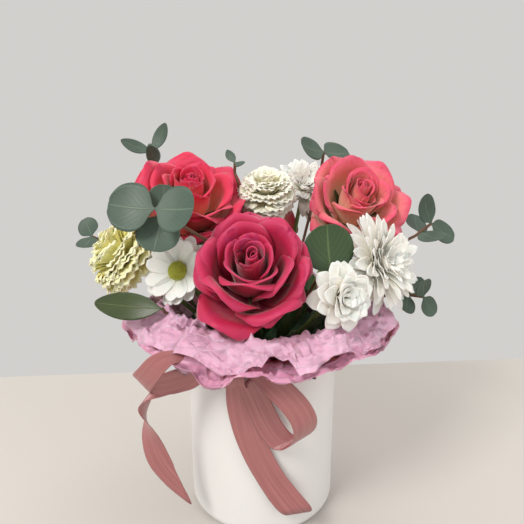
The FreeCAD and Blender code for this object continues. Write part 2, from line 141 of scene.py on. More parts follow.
class Paint:
    """One material's nodes, ending in a Principled shader."""

    def __init__(self, name: str) -> None:
        """Start a material of that name."""
        self.material = bpy.data.materials.new(name)
        self.material.use_nodes = True
        self.tree = self.material.node_tree
        self.shader = next(n for n in self.tree.nodes if n.type == "BSDF_PRINCIPLED")

    def node(self, kind: str, settings: Optional[dict] = None,
             inputs: Optional[dict] = None, output: Union[int, str] = 0) -> Shade:
        """Add a node.

        Args:
            kind: The node's type, without "ShaderNode".
            settings: Its settings.
            inputs: Values or links of its sockets, by name or number.
            output: Which output to return.

        Returns:
            The output, wrapped.
        """
        node = self.tree.nodes.new("ShaderNode" + kind)
        for name, value in (settings or {}).items():
            setattr(node, name, value)
        for name, value in (inputs or {}).items():
            self._feed(node.inputs[name], value)
        return Shade(self, node.outputs[output])

    def _feed(self, socket: bpy.types.NodeSocket, value: Value) -> None:
        """Link or set one input socket."""
        if isinstance(value, Shade):
            self.tree.links.new(value.socket, socket)
        elif isinstance(value, (int, float)):
            socket.default_value = value
        else:
            wanted = len(socket.default_value)
            socket.default_value = (tuple(value) + (1.0,))[:wanted]

    def calc(self, operation: str, *values: Value) -> Shade:
        """Return a Math node's result."""
        return self.node("Math", {"operation": operation}, dict(enumerate(values)))

    def vector(self, operation: str, *values: Value, output: Union[int, str] = 0) -> Shade:
        """Return a Vector Math node's result."""
        return self.node("VectorMath", {"operation": operation}, dict(enumerate(values)), output)

    def place(self, kind: str = "Object") -> Shade:
        """Return a coordinate output, Object or UV."""
        return self.node("TexCoord", output=kind)

    def tone(self) -> Shade:
        """Return how dark a copy of a pattern is, from 0 to 1."""
        return self.node("Attribute", {"attribute_name": "tone"}, output="Fac")

    def stretched(self, place: Shade, scale: Sequence[float]) -> Shade:
        """Return a coordinate scaled along its axes."""
        return self.node("Mapping", {}, {"Vector": place, "Scale": scale})

    def axis(self, place: Shade, name: str) -> Shade:
        """Return one axis of a coordinate."""
        return self.node("SeparateXYZ", {}, {0: place}, name)

    def noise(self, place: Shade, scale: float, detail: float = 3.0,
              roughness: float = 0.5, output: Union[int, str] = 0) -> Shade:
        """Return smooth noise from 0 to 1."""
        return self.node("TexNoise", {}, {
            "Vector": place, "Scale": scale, "Detail": detail, "Roughness": roughness}, output)

    def cells(self, place: Shade, scale: float, output: str = "Distance",
              feature: str = "F1") -> Shade:
        """Return an output of a Voronoi pattern."""
        return self.node("TexVoronoi", {"feature": feature},
                         {"Vector": place, "Scale": scale}, output)

    def between(self, value: Shade, low: float, high: float) -> Shade:
        """Return how far a value is from low to high, held to 0 and 1."""
        return self.node("MapRange", {"clamp": True}, {
            "Value": value, "From Min": low, "From Max": high})

    def mix(self, factor: Value, low: Value, high: Value) -> Shade:
        """Return a mix of two colours."""
        return self.node("Mix", {"data_type": "RGBA"}, {0: factor, 6: low, 7: high}, 2)

    def bump(self, height: Shade, distance: float, strength: float) -> Shade:
        """Return a normal that follows a height."""
        return self.node("Bump", {}, {
            "Height": height, "Distance": distance, "Strength": strength})

    def finish(self, **sockets: Value) -> Material:
        """Feed the shader's sockets.

        Args:
            sockets: Values or links, by socket name with _ for a space.

        Returns:
            The finished material.
        """
        for name, value in sockets.items():
            self._feed(self.shader.inputs[name.replace("_", " ")], value)
        return self.material


@dataclass(frozen=True)
class Finish:
    """What every finish has: its name and the record's slot, which nothing here uses."""

    name: str
    slot: str

    def make(self) -> Material:
        """Return the finish's material, made once."""
        title = "finish_" + self.name
        return bpy.data.materials.get(title) or self.mix_paint(Paint(title))

    def mix_paint(self, paint: Paint) -> Material:
        """Build the nodes; each finish has its own."""
        raise NotImplementedError


@dataclass(frozen=True)
class CardFinish(Finish):
    """Smooth coated card with a soft satin gloss."""

    colour: Colour = (0.85, 0.848, 0.843)
    shade: Colour = (0.80, 0.795, 0.787)
    mottle: float = 14.0
    haze: float = 40.0
    peel: float = 900.0

    def mix_paint(self, paint: Paint) -> Material:
        """Card: faint mottling and a fine orange-peel surface."""
        place = paint.place()
        colour = paint.mix(paint.noise(place, self.mottle, 4.0), self.colour, self.shade)
        return paint.finish(
            Base_Color=colour, Roughness=0.34 + 0.1 * paint.noise(place, self.haze),
            Normal=paint.bump(paint.noise(place, self.peel, 2.0), 0.00012, 0.25),
            Coat_Weight=0.12, Coat_Roughness=0.2)


@dataclass(frozen=True)
class TissueFinish(Finish):
    """Thin crinkled tissue paper, its creases laid round the box's axis."""

    # The lighter colour is a painted highlight on raised parts and crease lines; the deeper colour
    # is painted shade in the folds.
    painted_highlight: Colour = (0.88, 0.53, 0.68)
    deep: Colour = (0.72, 0.30, 0.47)
    arc: float = 0.028
    wander: float = 0.010
    coarse: float = 75.0
    fine: float = 190.0

    def mix_paint(self, paint: Paint) -> Material:
        """Tissue: long creases round the collar, painted shade in the folds, painted highlight on
        rises and creases.
        """
        place = paint.place()
        bearing = paint.calc("ARCTAN2", paint.axis(place, "X"), paint.axis(place, "Y") * -1.0)
        out = paint.vector("LENGTH", place, output="Value")
        round_about = paint.node("CombineXYZ", {}, {
            0: bearing * self.arc, 1: out, 2: paint.axis(place, "Z")})
        warped = paint.vector("MULTIPLY_ADD", paint.noise(place, 55.0, 2.0, output="Color"),
                              (self.wander,) * 3, round_about)
        relief = (1.3 * self.facets(paint, warped, self.coarse)
                  + self.facets(paint, warped, self.fine))
        crease = paint.cells(warped, self.coarse, feature="DISTANCE_TO_EDGE")
        soft = paint.noise(warped, 60.0, 5.0)
        # Painted shade and highlight: darker where the soft relief sinks, lighter where it rises.
        colour = paint.mix(soft, self.deep, self.painted_highlight)
        # Painted highlight along the crease lines.
        colour = paint.mix(paint.between(crease, 0.0, 0.05), self.painted_highlight, colour)
        return paint.finish(
            Base_Color=colour, Roughness=0.5 + 0.12 * soft,
            Normal=paint.bump(relief + soft * 0.0012, 1.0, 1.0),
            Subsurface_Weight=0.15, Subsurface_Scale=0.004, Sheen_Weight=0.12)

    @staticmethod
    def facets(paint: Paint, place: Shade, scale: float) -> Shade:
        """Return a height, in metres, of flat facets that each lean their own way."""
        away = paint.vector("SUBTRACT", place, paint.cells(place, scale, "Position"))
        lean = paint.vector("SUBTRACT", paint.cells(place, scale, "Color"), (0.5, 0.5, 0.5))
        return paint.vector("DOT_PRODUCT", away, lean, output="Value")


@dataclass(frozen=True)
class SatinFinish(Finish):
    """Satin ribbon: fine cross ribs, woven edges and a broad sheen."""

    colour: Colour = (0.33, 0.10, 0.105)
    # The lighter colour is a painted highlight: streaks of sheen along the ribbon.
    painted_highlight: Colour = (0.46, 0.17, 0.165)
    ribs: float = 1400.0

    def mix_paint(self, paint: Paint) -> Material:
        """Satin: ribs across the ribbon, painted highlight streaks along it, and edges a little
        darker.
        """
        place = paint.place("UV")
        edge = paint.between(abs(paint.axis(place, "X") - 0.5), 0.44, 0.48)
        ribs = paint.calc("SINE", paint.axis(place, "Y") * self.ribs)
        soft = paint.noise(paint.stretched(place, (7.0, 1.6, 1.0)), 1.0)
        # Painted highlight: lighter streaks along the ribbon stand in for the satin's sheen.
        colour = paint.mix(paint.between(soft, 0.3, 0.75), self.colour, self.painted_highlight)
        colour = paint.mix(edge * 0.35, colour, self.colour)
        return paint.finish(
            Base_Color=colour, Roughness=0.2 + 0.1 * soft + 0.15 * edge,
            Normal=paint.bump(ribs * 0.5 + edge, 0.00012, 0.35),
            Sheen_Weight=0.25, Sheen_Roughness=0.35, Anisotropic=0.6,
            Specular_IOR_Level=0.8, Coat_Weight=0.15, Coat_Roughness=0.25)


@dataclass(frozen=True)
class PetalFinish(Finish):
    """A petal: claw, body, back and rim colours, with veins along it."""

    claw: Colour
    body: Colour
    rim: Colour
    rim_start: float = 0.72
    veins: float = 0.25
    gloss: float = 0.5
    claw_end: float = 0.45
    tones: float = 0.22
    glow: float = 0.18
    shadow: float = 0.62

    def mix_paint(self, paint: Paint) -> Material:
        """Petal: from claw to rim along its length, with fine veins."""
        place = paint.place("UV")
        tone = paint.tone()
        waver = paint.noise(paint.stretched(place, (6.0, 1.2, 1.0)), 3.0, 4.0)
        reach = paint.axis(place, "Y") + 0.18 * (waver - 0.5) + 0.12 * (tone - 0.5)
        vein = paint.noise(paint.stretched(place, (34.0, 1.6, 1.0)), 2.0)
        colour = paint.mix(paint.between(reach, 0.02, self.claw_end), self.claw, self.body)
        colour = paint.mix(paint.between(reach, self.rim_start, 1.0), colour, self.rim)
        darker = tuple(self.shadow * part for part in self.body)
        colour = paint.mix(self.veins * vein, colour, darker)
        colour = paint.mix(self.tones * tone, colour, darker)
        return paint.finish(
            Base_Color=colour, Roughness=self.gloss + 0.15 * vein,
            Normal=paint.bump(vein, 0.0006, 0.35), Subsurface_Weight=self.glow,
            Subsurface_Radius=(1.0, 0.35 + 0.5 * self.glow, 0.25 + 0.5 * self.glow),
            Subsurface_Scale=0.004,
            Sheen_Weight=0.3, Sheen_Roughness=0.4)


@dataclass(frozen=True)
class LeafFinish(Finish):
    """A leaf: a waxy face, a pale midrib and side veins."""

    body: Colour
    dark: Colour
    rib: Colour
    gloss: float = 0.42
    bloom: float = 0.3
    wax: Colour = (0.24, 0.32, 0.28)

    def mix_paint(self, paint: Paint) -> Material:
        """Leaf: midrib and slanting side veins from its own map."""
        place = paint.place("UV")
        across = abs(paint.axis(place, "X") - 0.5)
        rib = 1.0 - paint.between(across, 0.008, 0.03)
        slant = paint.calc("SINE", (paint.axis(place, "Y") - across * 0.9) * 60.0)
        side = paint.between(slant, 0.93, 1.0)
        colour = paint.mix(paint.noise(paint.place(), 55.0, 4.0), self.dark, self.body)
        colour = paint.mix(0.4 * paint.tone(), colour, self.dark)
        colour = paint.mix(0.3 * side, colour, self.rib)
        colour = paint.mix(0.6 * rib, colour, self.rib)
        wax = paint.between(paint.noise(paint.place(), 24.0), 0.35, 0.75)
        colour = paint.mix(self.bloom * wax, colour, self.wax)
        return paint.finish(
            Base_Color=colour, Roughness=self.gloss + 0.2 * wax,
            Normal=paint.bump(rib * 0.8 + side * 0.3, 0.0005, 0.5),
            Subsurface_Weight=0.06, Subsurface_Scale=0.002)


@dataclass(frozen=True)
class GrainFinish(Finish):
    """A grained surface: stems, twigs, foam, plastic and flower discs."""

    low: Colour
    high: Colour
    scale: float
    stretch: Row = (1.0, 1.0, 1.0)
    relief: float = 0.0003
    gloss: float = 0.6

    def mix_paint(self, paint: Paint) -> Material:
        """Grain: noise that colours and roughens the surface."""
        place = paint.stretched(paint.place(), self.stretch)
        coarse = paint.noise(place, self.scale * 0.25, 4.0)
        grain = paint.noise(place, self.scale, 6.0, 0.65)
        shade = paint.between(0.5 * coarse + 0.5 * grain, 0.3, 0.7)
        colour = paint.mix(shade, self.low, self.high)
        return paint.finish(
            Base_Color=colour, Roughness=self.gloss + 0.15 * grain,
            Normal=paint.bump(grain, self.relief, 0.8))


CARD = CardFinish("card_white", "box_card")
# Each tissue's two colours are its painted highlight and its painted fold shade.
TISSUE = TissueFinish("tissue_pink", "tissue")
TISSUE_UNDER = TissueFinish("tissue_deep_pink", "tissue", (0.84, 0.46, 0.61), (0.62, 0.20, 0.37))
SATIN = SatinFinish("satin_dusty_rose", "satin")
MAGENTA = PetalFinish("petal_magenta", "petal_magenta", (0.28, 0.004, 0.03), (0.53, 0.007, 0.06),
                      (0.63, 0.022, 0.12), 0.7)
RED_PINK = PetalFinish("petal_red_pink", "petal_magenta", (0.95, 0.58, 0.30), (0.80, 0.045, 0.095),
                       (0.72, 0.012, 0.085), 0.45, claw_end=0.82, tones=0.12)
CORAL = PetalFinish("petal_coral", "petal_coral", (0.96, 0.84, 0.58), (0.95, 0.42, 0.29),
                    (0.78, 0.02, 0.14), 0.45, claw_end=0.85, tones=0.06, glow=0.12)
YELLOW = PetalFinish("petal_yellow", "petal_yellow", (0.97, 0.88, 0.26), (0.98, 0.93, 0.42),
                     (0.98, 0.96, 0.66), 0.6, 0.03, tones=0.03, glow=0.25)
CREAM = PetalFinish("petal_cream", "petal_white", (0.96, 0.90, 0.50), (0.97, 0.92, 0.70),
                    (0.98, 0.95, 0.84), 0.6, 0.03, tones=0.03, glow=0.25)
WHITE = PetalFinish("petal_white", "petal_white", (0.94, 0.90, 0.62), (0.98, 0.95, 0.87),
                    (0.98, 0.97, 0.92), 0.5, 0.04, claw_end=0.3, tones=0.0, glow=0.4)
BLUSH = PetalFinish("petal_blush", "petal_white", (0.90, 0.76, 0.58), (0.95, 0.78, 0.72),
                    (0.96, 0.83, 0.80), 0.5, 0.05, tones=0.04, glow=0.25)
GREY_LEAF = LeafFinish("leaf_grey_green", "leaf_grey_green", (0.075, 0.125, 0.09),
                       (0.03, 0.06, 0.04), (0.15, 0.21, 0.15), 0.45, 0.16)
DARK_LEAF = LeafFinish("leaf_dark", "leaf_dark", (0.065, 0.10, 0.025), (0.02, 0.04, 0.012),
                       (0.13, 0.17, 0.06), 0.33, 0.0)
ROSE_LEAF = LeafFinish("leaf_rose_green", "leaf_dark", (0.06, 0.13, 0.035), (0.02, 0.05, 0.015),
                       (0.14, 0.22, 0.08), 0.38, 0.05)
STEM = GrainFinish("stem_green", "stem_green", (0.10, 0.17, 0.04), (0.19, 0.28, 0.08), 260.0,
                   (1.0, 1.0, 0.12), 0.0002, 0.45)
TWIG = GrainFinish("twig_brown", "twig_brown", (0.10, 0.045, 0.025), (0.22, 0.12, 0.07), 400.0,
                   (1.0, 1.0, 0.25), 0.0003, 0.6)
FOAM = GrainFinish("foam_green", "floral_foam", (0.012, 0.04, 0.014), (0.04, 0.10, 0.04), 900.0,
                   relief=0.0008, gloss=0.9)
LINER = GrainFinish("liner_plastic", "liner_plastic", (0.012, 0.014, 0.012), (0.02, 0.024, 0.02),
                    300.0, relief=0.0001, gloss=0.35)
DISC = GrainFinish("disc_green", "disc_green", (0.22, 0.26, 0.02), (0.50, 0.50, 0.06), 380.0,
                   relief=0.0006)


# ------------------------------------------------------------ making by hand


class Hands:
    """Edit-mode tools on one mesh; places are those that it was laid out with."""

    def __init__(self, piece: Piece) -> None:
        """Note where each vertex lies before any shaping."""
        self.piece = piece
        self.places = [v.co.copy() for v in bmesh.from_edit_mesh(piece.data).verts]

    def _select(self, chosen: Sequence[bool]) -> None:
        """Select the vertices that are chosen, in the mesh's order."""
        mesh = bmesh.from_edit_mesh(self.piece.data)
        for vertex, wanted in zip(mesh.verts, chosen):
            vertex.select_set(wanted)
        mesh.select_flush_mode()
        bmesh.update_edit_mesh(self.piece.data, loop_triangles=False, destructive=False)

    def pick(self, column: Optional[float] = None, row: Optional[float] = None) -> None:
        """Select a grid's column, its row, the vertex where both meet, or everything."""
        self._select([(column is None or abs(place.x - column) < ON_LINE)
                      and (row is None or abs(place.y - row) < ON_LINE)
                      for place in self.places])

    def pick_now(self, test: Callable[[Vector], bool]) -> None:
        """Select the vertices whose present place passes a test."""
        mesh = bmesh.from_edit_mesh(self.piece.data)
        self._select([test(vertex.co) for vertex in mesh.verts])

    @staticmethod
    def move(x: float, y: float, z: float, reach: float = 0.0,
             falloff: str = "SMOOTH") -> None:
        """Move what is selected, and with a reach what lies near it too."""
        if reach:
            bpy.ops.transform.translate(
                value=(x, y, z), use_proportional_edit=True,
                proportional_edit_falloff=falloff, proportional_size=reach)
        else:
            bpy.ops.transform.translate(value=(x, y, z))

    @staticmethod
    def scale(x: float, y: float, z: float, centre: Sequence[float] = (0, 0, 0)) -> None:
        """Scale what is selected about a point."""
        bpy.ops.transform.resize(value=(x, y, z), center_override=tuple(centre))

    @staticmethod
    def extrude(rise: float) -> None:
        """Extrude the selected edges upwards."""
        bpy.ops.mesh.extrude_edges_move(TRANSFORM_OT_translate={"value": (0, 0, rise)})


class Bench:
    """Where pieces are started, shaped, finished and joined."""

    draws = random.Random(20)

    @staticmethod
    def only(*pieces: Piece) -> None:
        """Select these pieces alone and make the first one active."""
        for item in bpy.context.selected_objects:
            item.select_set(False)
        for piece in pieces:
            piece.select_set(True)
        if pieces:
            bpy.context.view_layer.objects.active = pieces[0]

    @classmethod
    @contextmanager
    def hands(cls, piece: Piece) -> Iterator[Hands]:
        """Open a piece in edit mode for shaping."""
        cls.only(piece)
        bpy.ops.object.mode_set(mode="EDIT")
        bpy.ops.mesh.select_mode(type="VERT")
        yield Hands(piece)
        bpy.ops.object.mode_set(mode="OBJECT")

    @classmethod
    def grid(cls, name: str, columns: int, rows: int) -> Piece:
        """Lay a grid on XY: X from -1 to 1, Y from 0 to 1, with a map over it.

        Args:
            name: The piece's name.
            columns: How many faces across.
            rows: How many faces along.

        Returns:
            The new piece.
        """
        cls.only()
        bpy.ops.mesh.primitive_grid_add(x_subdivisions=columns, y_subdivisions=rows, size=2)
        piece = bpy.context.object
        piece.name = name
        with cls.hands(piece) as hands:
            hands.pick()
            hands.scale(1, 0.5, 1)
            hands.move(0, 0.5, 0)
        return piece

    @classmethod
    def modify(cls, piece: Piece, kind: str, **settings: object) -> None:
        """Add a modifier and apply it."""
        cls.only(piece)
        modifier = piece.modifiers.new(kind.lower(), kind)
        for name, value in settings.items():
            setattr(modifier, name, value)
        bpy.ops.object.modifier_apply(modifier=modifier.name)

    @classmethod
    def subdivide(cls, piece: Piece, level: int = 1, kind: str = "CATMULL_CLARK") -> None:
        """Subdivide a piece's faces, rounded off or as they are."""
        cls.modify(piece, "SUBSURF", levels=level, render_levels=level, subdivision_type=kind)

    @classmethod
    def thicken(cls, piece: Piece, gauge: float) -> None:
        """Give a sheet its thickness, in millimetres."""
        cls.modify(piece, "SOLIDIFY", thickness=gauge * MM, offset=0.0)

    @classmethod
    def ripple(cls, piece: Piece, size: float, strength: float) -> None:
        """Displace a piece along its normals with a cloud pattern, in metres."""
        texture = bpy.data.textures.new(piece.name + "_clouds", "CLOUDS")
        texture.noise_scale = size
        cls.modify(piece, "DISPLACE", texture=texture, texture_coords="LOCAL",
                   strength=strength, mid_level=0.5)

    @staticmethod
    def copy(pattern: Piece, matrix: Matrix, tone: float) -> Piece:
        """Copy a pattern with its own mesh, set in place.

        Args:
            pattern: The shape to copy.
            matrix: Where the copy goes.
            tone: How dark the copy is, from 0 to 1.

        Returns:
            The copy.
        """
        mesh = pattern.data.copy()
        mesh.transform(matrix)
        tones = mesh.attributes.new("tone", "FLOAT", "POINT")
        tones.data.foreach_set("value", [tone] * len(mesh.vertices))
        item = bpy.data.objects.new(pattern.name + "_copy", mesh)
        bpy.context.scene.collection.objects.link(item)
        return item

    @classmethod
    def join(cls, name: str, parts: Sequence[Piece]) -> Piece:
        """Join parts into one piece of that name."""
        cls.only(*parts)
        if len(parts) > 1:
            bpy.ops.object.join()
        parts[0].name = name
        return parts[0]

    @staticmethod
    def hand_in(piece: Piece, body: str, finish: Finish, *replaced: str) -> None:
        """Give a piece its finish, its body and the CAD nodes it stands for."""
        for polygon in piece.data.polygons:
            polygon.use_smooth = True
        piece.data.materials.clear()
        piece.data.materials.append(finish.make())
        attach(piece, body)
        if replaced:
            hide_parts(*replaced)
        LOG.info("%s: %d faces on %s", piece.name, len(piece.data.polygons), body)


@dataclass(frozen=True)
class Petal:
    """The pattern of one petal or leaf, a grid shaped row by row.

    rows are (up, out, scale) in millimetres from claw to tip; wrap is the
    half-angle, in degrees, that the petal closes round. round_tip, point, roll
    and ruffle shape the tip, in millimetres.
    """

    rows: tuple[Row, ...]
    wrap: float
    round_tip: float = 0.0
    point: float = 0.0
    roll: float = 0.0
    ruffle: float = 0.0
    columns: int = 6
    gauge: float = 0.45
    flatten: float = 1.0

    def make(self, name: str) -> Piece:
        """Shape the pattern.

        Args:
            name: The pattern's name.

        Returns:
            The pattern, at the origin.
        """
        count = len(self.rows) - 1
        piece = Bench.grid(name, self.columns, count)
        half = math.radians(self.wrap)
        widest = max(math.sin(min(half, math.pi / 2)), 0.2)
        with Bench.hands(piece) as hands:
            for u in self._columns():
                hands.pick(column=u)
                hands.move(math.sin(u * half) / widest - u, 0,
                           (math.cos(u * half) - 1) * self.flatten)
            for row, (up, out, scale) in enumerate(self.rows):
                v = row / count
                hands.pick(row=v)
                hands.scale(scale * MM, 1, scale * MM, (0, v, 0))
                hands.move(0, up * MM - v, out * MM)
            self._shape_tip(hands, count)
        Bench.subdivide(piece)
        Bench.thicken(piece, self.gauge)
        return piece

    def _columns(self) -> list[float]:
        """Return where the grid's columns lie, from -1 to 1."""
        return [2 * column / self.columns - 1 for column in range(self.columns + 1)]

    def _shape_tip(self, hands: Hands, count: int) -> None:
        """Round the tip's corners, roll its edges back and ruffle it."""
        for depth, share in ((0, 1.0), (1, 0.55), (2, 0.2)):
            for column, u in enumerate(self._columns()):
                wave = self.ruffle * share * (1 if column % 2 else -1)
                drop = -self.round_tip * share * abs(u) ** 2.2 + 0.4 * wave
                back = self.roll * share * u * u + wave
                if abs(u) < ON_LINE:
                    drop += self.point * share
                if drop or back:
                    hands.pick(u, (count - depth) / count)
                    hands.move(0, drop * MM, back * MM)


@dataclass(frozen=True)
class Ring:
    """One whorl of a flower: its petal, how many, and how they stand.

    tilt, turn and jitter are in degrees, base and lift in millimetres: out from
    the flower's middle and up from its seat.
    """

    petal: Petal
    count: int
    tilt: float
    turn: float
    base: float
    lift: float
    size: float
    jitter: float


@contextmanager
def patterns_for(rings: Sequence[Ring]) -> Iterator[list[Piece]]:
    """Make each ring's pattern, and remove them all once every copy is made."""
    patterns = [ring.petal.make("pattern_%d" % number) for number, ring in enumerate(rings)]
    yield patterns
    for pattern in patterns:
        bpy.data.objects.remove(pattern)


def whorl(name: str, rings: Sequence[Ring], patterns: Sequence[Piece],
          place: Matrix, size: float = 1.0) -> Piece:
    """Build a head of petals from its rings.

    Args:
        name: The piece's name.
        rings: The rings, inner first.
        patterns: The rings' petal patterns.
        place: The head's placement.
        size: The head's size against the rings' own.

    Returns:
        The joined head.
    """
    parts = []
    draws = Bench.draws
    for ring, pattern in zip(rings, patterns):
        for index in range(ring.count):
            azimuth = ring.turn + 360 * index / ring.count + draws.uniform(-1, 1) * ring.jitter
            tilt = ring.tilt + draws.uniform(-1, 1) * ring.jitter
            stretch = ring.size * size * (1 + 0.05 * draws.uniform(-1, 1))
            matrix = (place @ turn(azimuth) @ shift(ring.base * MM * size, 0, ring.lift * MM * size)
                      @ turn(tilt, "Y") @ upright(stretch))
            parts.append(Bench.copy(pattern, matrix, draws.random()))
    return Bench.join(name, parts)


# -------------------------------------------------------------- arrangement


class Kind(Enum):
    """The kinds of flower."""

    ROSE = "rose"
    CARNATION = "carnation"
    MUM = "mum"
    DAISY = "daisy"


CALYX_HEIGHT = {Kind.ROSE: 8, Kind.CARNATION: 11, Kind.MUM: 4, Kind.DAISY: 3}


@dataclass(frozen=True)
class Planted:
    """Anything with a stem in the foam, in degrees and millimetres, as its CAD has it."""

    name: str
    azimuth: float
    tilt: float
    reach: float
    root: float

    @property
    def stem(self) -> Matrix:
        """The placement of the stem's root."""
        return shift(0, 0, self.root * MM) @ direction(self.azimuth, self.tilt)


@dataclass(frozen=True)
class Flower(Planted):
    """A flower's head: the way it faces, its CAD radius and how its petals differ."""

    face_azimuth: float
    face_tilt: float
    radius: float
    finish: Finish
    spin: float = 0.0
    swell: float = 1.0
    breadth: float = 1.0

    @property
    def kind(self) -> Kind:
        """The kind, which the name starts with."""
        return Kind(self.name.split("_")[0])

    @property
    def seat(self) -> Matrix:
        """The placement of the petals' seat on the calyx, +Z the way the flower faces."""
        neck = onward(self.stem, self.reach, self.face_azimuth, self.face_tilt)
        return neck @ shift(0, 0, CALYX_HEIGHT[self.kind] * MM)


FLOWERS = (
    Flower("rose_front", -99, 21, 105, 95, -92, 45, 38, MAGENTA, 20, 0.9),
    Flower("rose_left", 150, 28, 158, 83, -70, 32, 37, RED_PINK, 50),
    Flower("rose_right", 35, 31, 166, 85, -75, 48, 36, CORAL, 75, 0.96),
    Flower("rose_back", 100, 34, 116, 95, 95, 45, 36, CORAL, 0),
    Flower("carnation_yellow", 180, 48, 129, 115, -170, 50, 23, YELLOW, 0, 1.12),
    Flower("carnation_cream", 84, 12, 177, 70, -90, 25, 19, CREAM, 0, 1.08),
    Flower("carnation_back", 140, 44, 123, 111, 140, 60, 22, YELLOW, 0, 0.85),
    Flower("mum_top", 66, 29, 188, 85, -80, 45, 20, WHITE, 0, 1.28),
    Flower("mum_right", -12, 41, 126, 112, -42, 66, 27, WHITE, 0, 1.2, 0.85),
    Flower("mum_low", -49, 42, 115, 112, -60, 80, 19, WHITE, 0, 1.02, 2.0),
    Flower("mum_small", 160, 39, 180, 105, 165, 34, 12, BLUSH),
    Flower("daisy_left", -159, 33, 118, 105, -112, 64, 22, WHITE),
)


@dataclass(frozen=True)
class Sprig(Planted):
    """A sprig's three runs of twig and its leaves, as its CAD has them."""

    branch_azimuth: float
    branch_tilt: float
    branch_length: float
    tip_azimuth: float
    tip_tilt: float
    tip_length: float
    roll: float
    lean: float
    leaf_length: float
    leaf_width: float
    leaves: int
    finish: Finish = GREY_LEAF
    sizes: tuple[float, ...] = ()
    breadth: float = 1.0

    @property
    def tip(self) -> Matrix:
        """The placement of the leafy tip."""
        branch = onward(self.stem, self.reach, self.branch_azimuth, self.branch_tilt)
        return onward(branch, self.branch_length, self.tip_azimuth, self.tip_tilt)


SPRIGS = (
    Sprig("sprig_broad", -137, 21, 145, 95, -166, 56, 37, -105, 65, 14, 90, 80, 31, 30, 4,
          GREY_LEAF, (0.92, 0.98, 0.6, 0.85), 1.2),
    Sprig("sprig_top_left", 135, 26, 172, 60, 155, 36, 72, 190, 20, 15, 0, 48, 26, 13, 4),
    Sprig("sprig_far_left", 170, 47, 122, 113, 150, 74, 58, -150, 60, 12, 60, 70, 20, 18, 2),
    Sprig("sprig_top_middle", 121, 10, 203, 60, 150, 20, 14, -80, 20, 8, 20, 70, 14, 8, 2),
    Sprig("sprig_top_right", 47, 21, 200, 80, 60, 25, 12, 40, 10, 10, 0, 84, 22, 18, 2,
          GREY_LEAF, (1.4, 1.2)),
    Sprig("sprig_front_right", -32, 27, 106, 105, -72, 66, 16, -62, 72, 8, 180, 84, 36, 34, 1,
          ROSE_LEAF, (0.95,), 1.15),
    Sprig("sprig_right", 16, 47, 134, 112, 12, 66, 40, 0, 50, 16, 15, 72, 26, 20, 4),
    Sprig("sprig_low_right", 4, 48, 88, 115, -6, 84, 50, -40, 85, 15, 30, 74, 18, 15, 4),
    Sprig("ruscus_left", -124, 50, 76, 118, 171, 72, 40, -95, 50, 8, -90, 80, 46, 21, 1,
          DARK_LEAF),
    Sprig("ruscus_back", 128, 48, 92, 115, 118, 75, 22, 118, 75, 8, 180, 15, 44, 20, 1,
          DARK_LEAF),
)


# ------------------------------------------------------------------ flowers


class HeadMaker:
    """What the makers of flower heads share.

    own_radius is the radius, in millimetres, that the rings are drawn for; ripple
    is the size and depth of the waves in the petals, in metres.
    """

    own_radius: float
    ripple: Pair

    def size(self, flower: Flower) -> float:
        """Return a flower's size against the rings' own."""
        return flower.swell * flower.radius / self.own_radius

    def make_head(self, flower: Flower, rings: Sequence[Ring],
                  patterns: Sequence[Piece], size: float) -> None:
        """Make one flower's head and hand it in.

        Args:
            flower: The flower.
            rings: Its rings of petals.
            patterns: The rings' petal patterns.
            size: Its size against the rings' own.
        """
        head = whorl(flower.name + "_bloom", rings, patterns,
                     flower.seat @ turn(flower.spin), size)
        Bench.ripple(head, *self.ripple)
        Bench.hand_in(head, flower.name, flower.finish, flower.name + "_head")


class RoseMaker(HeadMaker):
    """Roses: a rolled bud in widening rings of petals with curled lips."""

    own_radius = 38
    ripple = (0.014, 0.0022)
    sepals = (Ring(Petal(((0, 0, 3), (8, 3, 4), (16, 7, 3), (26, 13, 1.2), (32, 18, 0.5)),
                         60, 1, columns=2), 5, 12, 0, 5, -1, 1, 5),)
    rings = (
        Ring(Petal(((0, 2, 2), (12, 5, 5), (26, 6, 6), (38, 5.5, 5.5), (46, 4.5, 4.6),
                    (50, 4, 4)), 150, 1, 0, 0), 3, 0, 0, 0, 2, 1.0, 6),
        Ring(Petal(((0, 3, 3), (12, 9, 9), (26, 11, 11), (38, 10, 10), (47, 9, 9.5),
                    (51, 10.5, 9.5)), 100, 4, 2, 1.5), 4, 2, 20, 0, 1, 1.0, 6),
        Ring(Petal(((0, 3, 3), (11, 12, 12), (24, 16, 16), (36, 16, 16), (46, 16, 15),
                    (51, 20, 15)), 74, 7, 3, 4), 5, 2, 10, 0, 1, 1.0, 7),
        Ring(Petal(((0, 4, 4), (10, 16, 15), (21, 22, 21), (33, 23, 22), (43, 24, 21),
                    (49, 30, 19)), 62, 9, 4, 5.5), 5, 3, 40, 0, 0, 1.0, 7),
        Ring(Petal(((0, 4, 4), (8, 19, 17), (18, 27, 24), (29, 30, 26), (39, 32, 24),
                    (44, 40, 20)), 54, 11, 5.5, 6), 6, 3, 5, 0, 0, 1.0, 7),
        Ring(Petal(((0, 4, 4), (6, 20, 17), (14, 29, 25), (24, 34, 28), (32, 38, 26),
                    (34, 46, 20)), 50, 12, 7, 6), 5, 6, 25, 0, 0, 0.97, 8),
    )

    def build(self, flowers: Sequence[Flower]) -> None:
        """Make every rose's head and sepals."""
        with patterns_for(self.rings) as petals, patterns_for(self.sepals) as points:
            for flower in flowers:
                self.make_head(flower, self.rings, petals, self.size(flower))
                leaf = whorl(flower.name + "_sepals", self.sepals, points, flower.seat,
                             self.size(flower))
                Bench.hand_in(leaf, flower.name, ROSE_LEAF)


